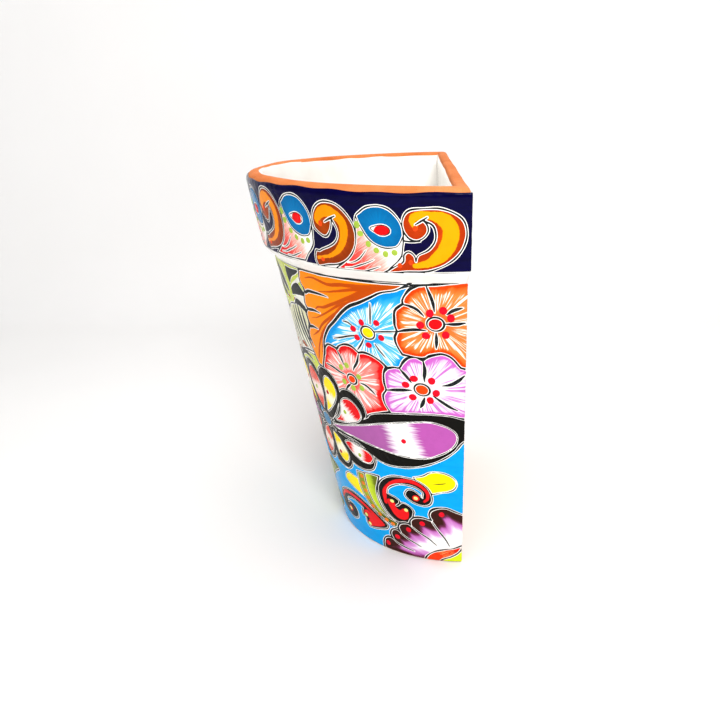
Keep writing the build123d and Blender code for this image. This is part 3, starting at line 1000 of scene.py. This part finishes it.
def navy_top(turn):
    """The navy's wavy upper edge."""
    waves = 0.4 * np.sin(9 * turn) + 0.3 * np.sin(31 * turn + 1)
    return HEIGHT - 2.3 - 0.25 * np.clip(turn, 0, 2) ** 2 + waves


RIM = Sheet(-256.0, 256.0, RIM_LOW - 2.0, HEIGHT - 0.4, RIM_STEP, lambda u, z: u / RIM_MEAN_RADIUS, False)
RIM_TURN = RIM.across / RIM_MEAN_RADIUS
RIM_TOP = navy_top(RIM_TURN)
RIM_FOOT = RIM_LOW + 0.3 + 0.5 * np.sin(4.0 * RIM_TURN + 0.4)
RIM_LIMIT = np.maximum(
    np.abs(RIM.across) - (RIM_MEAN_RADIUS * math.pi / 2 + WRAP),
    np.maximum(RIM_FOOT - RIM.up, RIM.up - RIM_TOP),
)
RIM.taken = -RIM_LIMIT

NAVY = plain("navy_enamel", "050130", "0B054A")
SCROLL = enamel("scroll_enamel", [(0.3, "C25408"), (0.8, "963C06")], 0.7, dash="FF9800", mottle=0.05)
BRIGHT_STOPS = [(0.3, "D84E06"), (0.8, "B83C04")]
BRIGHT_SCROLL = enamel("bright_scroll", BRIGHT_STOPS, 0.7, dash="FDAC00", mottle=0.05)
EGG = enamel("egg_enamel", [(0.3, "0080BC"), (0.8, "0070A8")], 0.7)
BLUSH_STOPS = [(0.15, "FFFAF4"), (0.38, "FCB4A6"), (0.58, "F26A60"), (0.82, "E22A2A")]
BLUSH = enamel("blush_enamel", BLUSH_STOPS, 0.55, "FFD8CE", (0.3, 0.75), mottle=0.05,
               streak_amount=(0.56, 0.66))
EYE_WHITE = plain("eye_white", "FBF8F2", "F2ECE4", 0.04)
EMBER_BEAD = plain("ember_bead", "FF5A1C", "F2440E")
PERIOD = 68.5                                   # spacing of the scrolls along the rim
LIFTS = (0, 3.5, 3.0, 1.5, 0.5, 1.0, 0)         # how far each repeat sits above the first

SCROLL_A = ([(198, 252), (214, 254), (228, 254.6), (235, 256.6), (241, 260), (246.5, 265), (250.5, 271),
             (252.5, 278), (252, 285), (249.5, 291), (244, 295.5), (237, 298), (229, 298), (220, 297),
             (216, 293.5), (214.3, 287.5), (215.2, 281.5), (218.5, 277), (223, 275.7), (227.5, 277.8),
             (230.2, 282), (229.8, 286.5), (227.5, 289.8)],
            [(227.5, 289.8), (233, 286), (234.6, 280), (233.6, 274.5), (229.5, 269.5), (223.5, 266.3),
             (221.8, 262.2)],
            [(221.8, 262.2), (221, 266), (217.5, 268.6), (214.3, 266.5), (213.3, 261.5), (207.5, 257.5),
             (198, 252)])
CORE_A = [(222.5, 285), (221, 291), (228, 293.5), (238, 291), (243, 284), (242.5, 275), (238, 267),
          (230, 261), (221, 258.5)]
CORE_A_WIDTHS = (1.5, 2.5, 2.2, 4.2, 4.8, 4.8, 4.2, 2.5, 1.5)
DOTS_A = [(222.5, 284), (218.5, 261.3), (211, 258.5)]
CROSS_A = [(222.5, 286.5), (226, 289), (230, 292)]
SCROLL_B = ([(144, 262), (146, 265.3), (149, 265), (152, 266.5), (157, 268.3), (161, 270), (165, 272.7),
             (167.8, 277), (168, 281), (166.5, 285), (164.8, 288.5)],
            [(164.8, 288), (163.7, 283.5), (161.5, 279), (158.5, 276), (155, 276), (151, 278.5),
             (148.3, 281.5), (147.8, 287), (149.5, 293), (153, 297.5), (158, 300), (164, 300.3),
             (170, 298.8), (175, 295), (179, 289.5), (181.5, 283.5), (182, 277), (180, 270), (176, 264),
             (170.5, 259), (163, 255.8), (154, 254.5), (145, 252.5)],
            [(145, 252.5), (143.5, 257), (144, 262)])
CORE_B = [(154, 285), (152.5, 288), (157, 293), (163, 294), (169, 291), (173, 286), (173.5, 280),
          (171.5, 273.5), (167, 267.5), (160, 263), (152, 260.7), (147, 259.5)]
CORE_B_WIDTHS = (1.5, 3, 3.4, 3, 3, 3, 2.7, 2.3, 1.8, 1.3, 1, 1.2)
DOTS_B = [(154.8, 284.5), (151, 258.5)]
CROSS_B = [(158.5, 286), (162, 288), (167.8, 290.8)]
PAISLEY = ([(182.5, 285), (183.5, 291.5), (187, 295), (191, 297.8), (196, 299), (201, 299),
            (206, 297.3), (210, 293.5), (213, 288.5), (214.5, 283), (214.5, 276), (213.5, 270),
            (212.5, 265.5), (209, 261), (205, 257), (200, 251.5)],
           [(200, 251.5), (175, 251.5), (160, 252)],
           [(160, 252), (170, 258.5), (176, 264), (180, 270), (182, 277), (182.5, 285)])
EGG_UNDERSIDE = [(184, 291), (185.3, 286.5), (187.5, 282), (190, 277.5), (193.5, 274), (197.5, 271.8),
                 (202, 270.6), (206.5, 270.8), (210, 271.8), (212.3, 274.3), (214.2, 278)]
EGG_EYE = [(193.0, 283.6), (196.7, 285.2), (200.6, 285.9), (204.3, 284.9), (206.2, 282.6),
           (205.4, 280.3), (202.4, 278.9), (199.2, 279.1), (196.0, 281.0), (193.0, 283.6)]
EGG_DOTS = [(183.9, 285.5), (185.7, 279.5), (190.6, 272.8), (195.8, 268.8), (202, 266.7), (208.2, 267.8)]
BRUSH_LINES = [
    [(172.5, 258.5), (177, 259), (182, 262), (185.5, 265.5), (188, 268.3)],
    [(170, 254.5), (176, 255), (182, 257), (188, 259.5), (193, 262.3)],
    [(178, 253), (185, 253), (191, 254.8), (197, 257)],
]


def ease(share):
    """A soft step from nought to one."""
    share = min(max(share, 0), 1)
    return share * share * (3 - 2 * share)


def seated(points, by):
    """Rim motif points moved along the rim, their upper parts eased down clear of the lip."""
    drop = [ease((up - 256) / 8) + 3.6 * ease((up - 278) / 24) for _, up in points]
    return [(across + by[0], up + by[1] - down) for (across, up), down in zip(points, drop)]


def scroll(name, edges, core, widths, material, centre, dots, cross, by):
    """A hooked scroll on the rim, with a broad stroke along it, two dots and a small cross stroke."""
    RIM.area(name, outline(*[seated(run, by) for run in edges]), material,
             radial(centre[0] + by[0], centre[1] + by[1]), 0.45, [(seated(core, by), widths)])
    RIM.bead(name + "_dots", seated(dots, by), 1.7, EMBER_BEAD)
    RIM.line(seated(cross, by), (0.3, 0.6, 0.3))


def paisley(name, by):
    """An eye-shaped drop on the rim: blue egg, red pupil, green dots and a blushing tail."""
    RIM.bead(name + "_pupil", seated([(200.6, 282.2)], by), 5.0, CORE_RED, lift=0.15, squash=0.6)
    RIM.area(name + "_eye", smooth(seated(EGG_EYE, by)), EYE_WHITE, drawn=0.28, gap=0.2)
    whole = outline(*[seated(run, by) for run in PAISLEY])
    above = [(222, 285), (215, 305), (180, 305), (176, 292)]
    over_underside = outline(seated(EGG_UNDERSIDE, by), seated(above, by))
    egg = np.maximum(RIM.from_area(whole), RIM.from_area(over_underside))
    RIM.area(name + "_egg", egg, EGG, radial(199 + by[0], 281 + by[1]), drawn=0.35)
    RIM.bead(name + "_beads", seated(EGG_DOTS, by), 2.1, GREEN_BEAD)
    RIM.area(name + "_body", whole, BLUSH,
             along((205 + by[0], 274 + by[1]), (172 + by[0], 252 + by[1]), 1.0), drawn=0.45)
    for points in BRUSH_LINES:
        RIM.line(seated(points, by), (0.15, 0.45, 0.2))


scroll("end_scroll", SCROLL_A, CORE_A, CORE_A_WIDTHS, BRIGHT_SCROLL, (235, 277), DOTS_A, CROSS_A, (0, 0))
for count, lift in enumerate(LIFTS):
    by = (-PERIOD * count, lift)
    scroll(f"scroll_{count}", SCROLL_B, CORE_B, CORE_B_WIDTHS, SCROLL, (163, 278), DOTS_B, CROSS_B, by)
    paisley(f"paisley_{count}", by)
RIM.line(seated([(215, 275.6), (220, 275.2), (225, 275.7)], (0, 0)), (0.5, 0.5))
RIM.area("rim_navy", outline([(-270, 240), (-270, 320), (270, 320), (270, 240)]), NAVY, drawn=0,
         slot="cobalt_glaze")
RIM.ink = np.minimum(RIM.ink, np.maximum(np.abs(RIM.up - RIM_FOOT) - 0.35, RIM.up - RIM_FOOT - 1))
RIM.finish(RIM_LIMIT)
RIM.finish_lines("rim_lines", INK)


# ================================================================ clay and ground glaze

def d_ring(radius, back_y, z, corner=1.0):
    """A closed ring of points: an arc through the front, then a straight run across the back."""
    turn_end = math.acos(min((BACK_Y - back_y) / radius, 1.0))
    end = turn_end - corner / radius
    turn = np.linspace(-end, end, 200)
    stand = unevenness(turn, z)
    arc = np.stack([(radius + stand) * np.sin(turn), BACK_Y - (radius + stand) * np.cos(turn)], 1)
    right = np.array([(radius + stand[-1]) * math.sin(turn_end), back_y])
    left = np.array([-(radius + stand[0]) * math.sin(turn_end), back_y])

    def rounded(first, tip, last):
        t = np.linspace(0.2, 0.8, 4)[:, None]
        return (1 - t)**2 * first + 2 * t * (1 - t) * tip + t**2 * last

    right_in, left_in = right - (corner, 0), left + (corner, 0)
    share = np.linspace(0, 1, 90)[:, None]
    back = right_in + (left_in - right_in) * share
    flat = np.vstack([arc, rounded(arc[-1], right, right_in), back, rounded(left_in, left, arc[0])])
    return np.column_stack([flat, np.full(len(flat), z)])


def lofted(name, rings_of_points, material, slot, closed_start=True):
    """A skin through rings with the same number of points, its ends gathered to a centre."""
    rings_of_points = list(rings_of_points)

    def gather(ring):
        centre = ring.mean(0)
        return [centre + (ring - centre) * scale for scale in (0.75, 0.5, 0.25, 0.02)]

    if closed_start:
        rings_of_points = gather(rings_of_points[0])[::-1] + rings_of_points
    rings_of_points += gather(rings_of_points[-1])
    count = len(rings_of_points[0])
    faces = []
    for level in range(len(rings_of_points) - 1):
        for n in range(count):
            after = (n + 1) % count
            low, high = level * count, (level + 1) * count
            faces.append((low + n, low + after, high + after, high + n))
    if closed_start:
        faces.append(tuple(range(count))[::-1])
    faces.append(tuple(range((len(rings_of_points) - 1) * count, len(rings_of_points) * count)))
    return new_piece(name, np.concatenate(rings_of_points), faces, material, slot)


SIDE_HEIGHTS = np.concatenate([
    np.linspace(4, 243, 60),
    [245, 246.5, 248.5, 250.5, 252.5, 254, 257],
    np.linspace(262, 299, 10),
    [300, 301, 302, 303, 303.7, 304.2],
])


def lip_ring(share, drop, proud=0.0):
    """A ring over the lip: share goes 0 to 1 from its outer side to its inner, drop is below the top."""
    thick = float(glazed_radius(np.float64(HEIGHT - LIP_ROUNDING))) - GLAZE - inner_radius(HEIGHT)
    radius = inner_radius(HEIGHT) + thick * (1 - share) - proud
    back = BACK_Y + (SLAB_FRONT_Y - BACK_Y) * share - proud
    return d_ring(radius, back, HEIGHT - drop + proud / 2)


def clay_rings():
    """The pot's clay from the foot, up the outside, over the lip, down the inside and across the floor."""
    yield d_ring(cone_radius(0) - 2.2, BACK_Y - 1.2, 0.0)
    yield d_ring(cone_radius(0) - 1.1, BACK_Y - 0.4, 0.25)
    yield d_ring(cone_radius(0) - GLAZE - 0.1, BACK_Y, 1.2)
    for z in SIDE_HEIGHTS:
        curl = 0.35 * max(z - HEIGHT + LIP_ROUNDING, 0) ** 2 / LIP_ROUNDING
        yield d_ring(float(glazed_radius(np.float64(z))) - GLAZE, BACK_Y - curl, z)
    over_lip = ((0.32, 0.35), (0.40, 0.1), (0.5, 0.0), (0.6, 0.0), (0.7, 0.05), (0.82, 0.3), (0.92, 1.0),
                (0.98, 2.1), (1.0, 3.2))
    for share, drop in over_lip:
        yield lip_ring(share, drop)
    for z in np.linspace(HEIGHT - 6, FLOOR_TOP + 4, 60):
        yield d_ring(inner_radius(z), SLAB_FRONT_Y, z)
    for inset, rise in ((0.6, 1.2), (2.6, 0.0)):
        yield d_ring(inner_radius(FLOOR_TOP) - inset, SLAB_FRONT_Y - inset, FLOOR_TOP + rise)


def inside_rings():
    """The white glaze inside, from its wavy edge over the lip down and across the floor."""
    edge = ((0.80, 0.35, -0.1), (0.82, 0.3, 0.2), (0.92, 1.0, GLAZE), (0.98, 2.1, GLAZE))
    for share, drop, proud in edge:
        ring = lip_ring(share, drop, proud)
        around = np.arange(len(ring)) * (2 * math.pi / len(ring))
        sway = (0.5 * np.sin(7 * around) + 0.4 * np.sin(19 * around + 1)) * (1 - share) * 4
        ring[:, :2] += (ring[:, :2] - (0, 30)) * (sway / 100)[:, None]
        short = np.clip(-1.3 * ring[:, 0] / RIM_HIGH_RADIUS, 0, 1)
        ring[:, 2] -= 1.7 * np.maximum(short, np.clip((ring[:, 1] - SLAB_FRONT_Y + 30) / 24, 0, 1))
        yield ring
    for z in np.linspace(HEIGHT - 8, FLOOR_TOP + 4, 60):
        yield d_ring(inner_radius(z) - GLAZE, SLAB_FRONT_Y - GLAZE, z)
    for inset, rise in ((1.4, 1.6), (3.6, GLAZE)):
        yield d_ring(inner_radius(FLOOR_TOP) - inset, SLAB_FRONT_Y - inset, FLOOR_TOP + rise)


def level(z):
    """An edge that stays at one height, as a function of the angle."""
    return lambda turn: 0 * turn + z


def coat(name, low, high, material, rows):
    """A coat of ground glaze round the front between two heights, given as functions of the angle."""
    wrap = math.pi / 2 + 1.4 / RIM_MEAN_RADIUS
    turn = np.concatenate([[-wrap], np.linspace(-math.pi / 2, math.pi / 2, 261), [wrap]])
    share = np.linspace(0, 1, rows)
    turns, shares = np.meshgrid(turn, share, indexing="ij")
    lows, highs = low(turns), high(turns)
    z = lows + (highs - lows) * shares
    height = np.zeros_like(z)
    height[[0, -1]] = -0.3
    height[:, [0, -1]] = -0.7
    points = on_pot(turns, z, height).reshape(-1, 3)
    at = (np.arange(len(turn) - 1)[:, None] * rows + np.arange(rows - 1)).ravel()
    faces = np.stack([at, at + rows, at + rows + 1, at + 1], 1).tolist()
    return new_piece(name, points, faces, material, "white_glaze")


def pierce(piece, radius):
    """Cut the hanging hole through a piece."""
    x, y, z = HOLE["pos_m"]
    turn = np.linspace(0, 2 * math.pi, 49)[:-1]
    ring = np.stack([x + radius * MM * np.cos(turn), 0 * turn, z + radius * MM * np.sin(turn)], 1)
    reach = 0.012
    near = ring + (0, y - reach, 0)
    far = ring + (0, y + reach, 0)
    count = len(turn)
    faces = [(n, n + count, (n + 1) % count + count, (n + 1) % count) for n in range(count)]
    faces += [tuple(range(count)), tuple(range(2 * count - 1, count - 1, -1))]
    mesh = bpy.data.meshes.new("hole_cutter")
    mesh.from_pydata(np.vstack([near, far]).tolist(), [], faces)
    cutter = placed("hole_cutter", mesh)
    cut = piece.modifiers.new("hanging_hole", "BOOLEAN")
    cut.operation = "DIFFERENCE"
    cut.object = cutter
    cut.solver = "EXACT"
    bpy.context.view_layer.update()
    evaluated = piece.evaluated_get(bpy.context.evaluated_depsgraph_get())
    cut_mesh = bpy.data.meshes.new_from_object(evaluated)
    piece.modifiers.clear()
    piece.data = cut_mesh
    bpy.data.objects.remove(cutter)


CLAY = lofted("clay_pot", clay_rings(), terracotta(), "terracotta")
pierce(CLAY, HOLE["dims"]["r_mm"])
WHITE = white_ground()
INSIDE = lofted("inside_white", list(inside_rings()), WHITE, "white_glaze", closed_start=False)
BODY_COAT = coat("body_white", lambda t: 0.7 + 0.2 * np.sin(6 * t), level(BODY_HIGH + 1), WHITE, 110)
BAND_COAT = coat("band_white", level(BODY_HIGH - 0.5), level(RIM_LOW + 1.5), WHITE, 12)
RIM_COAT = coat("rim_white", level(RIM_LOW - 0.5), lambda t: navy_top(t) + 0.1, WHITE, 60)
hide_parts("back_slab", "front_wall", "floor_slab", "rim_collar")
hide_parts("inside_glaze")
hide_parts("body_glaze")
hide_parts("band_glaze")
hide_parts("rim_glaze")


# ================================================================ camera, light and room

# in metres, radians and watts
CAMERA_PLACE = Vector((0.60854, 0.04992, 0.36165))
YAW, PITCH, ROLL = -0.0821, 0.3498, -0.0465
LENS, SENSOR = 36.446, 36           # these two in millimetres
FLOOR_FRONT, WALL_X = 2.2, -0.67
WALL_TOP, ROOM_SIDE = 2.4, 2.5
WALL_CURVE = 0.12                   # radius of the curve between floor and wall
SOFTBOXES = [                       # name, place, target, side, power
    ("key", (1.2, 0.3, 1.05), (0, 0, 0.15), 0.5, 11),
    ("front", (1.2, -0.6, 0.7), (0, 0, 0.15), 0.9, 4),
    ("top", (0.1, 0.4, 1.6), (0, 0.3, 0.0), 1.0, 7),
]
DAYLIGHT = 0.33
PURE_WHITE = (1, 1, 1, 1)


def camera():
    """The camera at the angle of the reference view."""
    forward = Vector((-math.cos(YAW) * math.cos(PITCH), math.sin(YAW) * math.cos(PITCH), -math.sin(PITCH)))
    level = Vector((math.sin(YAW), math.cos(YAW), 0))
    above = level.cross(forward)
    right = math.cos(ROLL) * level + math.sin(ROLL) * above
    up = -math.sin(ROLL) * level + math.cos(ROLL) * above
    data = bpy.data.cameras.new("camera")
    data.lens = LENS
    data.sensor_width = SENSOR
    made = placed("camera", data)
    turned = Matrix((right, up, -forward)).transposed().to_4x4()
    made.matrix_world = Matrix.Translation(CAMERA_PLACE) @ turned
    bpy.context.scene.camera = made


def softbox(name, place, target, side, power):
    """A square soft light that faces a target."""
    data = bpy.data.lights.new(name, "AREA")
    data.shape = "RECTANGLE"
    data.size = data.size_y = side
    data.energy = power
    made = placed(name, data)
    made.location = place
    made.rotation_euler = (Vector(target) - Vector(place)).to_track_quat("-Z", "Y").to_euler()


def room():
    """A pale floor that curves up into a pale wall behind the pot."""
    curve_x = WALL_X + WALL_CURVE
    profile = [(FLOOR_FRONT, 0.0), (curve_x, 0.0)]
    for angle in np.linspace(0.15, math.pi / 2, 9):
        back, rise = WALL_CURVE * math.sin(angle), WALL_CURVE * (1 - math.cos(angle))
        profile.append((curve_x - back, rise))
    profile.append((WALL_X, WALL_TOP))
    points = [(x, y, z) for x, z in profile for y in (-ROOM_SIDE, ROOM_SIDE)]
    faces = [(2 * n, 2 * n + 1, 2 * n + 3, 2 * n + 2) for n in range(len(profile) - 1)]
    m = Nodes("room")
    m.colour(m.ramp(m.noise(m.place(), 1.3, 3), [(0.3, "F0EFEE"), (0.7, "F7F6F5")]))
    m.shader.inputs["Emission Color"].default_value = PURE_WHITE
    m.shader.inputs["Emission Strength"].default_value = 0.03
    placed("room", smooth_mesh("room", points, faces, m.finish(0.7, 0.2)))


def daylight():
    """Even white light from all round."""
    world = bpy.data.worlds.new("world")
    world.use_nodes = True
    background = world.node_tree.nodes["Background"]
    background.inputs["Color"].default_value = PURE_WHITE
    background.inputs["Strength"].default_value = DAYLIGHT
    bpy.context.scene.world = world


camera()
room()
for light in SOFTBOXES:
    softbox(*light)
daylight()
bpy.context.scene.view_settings.view_transform = "Standard"
bpy.context.scene.view_settings.look = "Medium High Contrast"
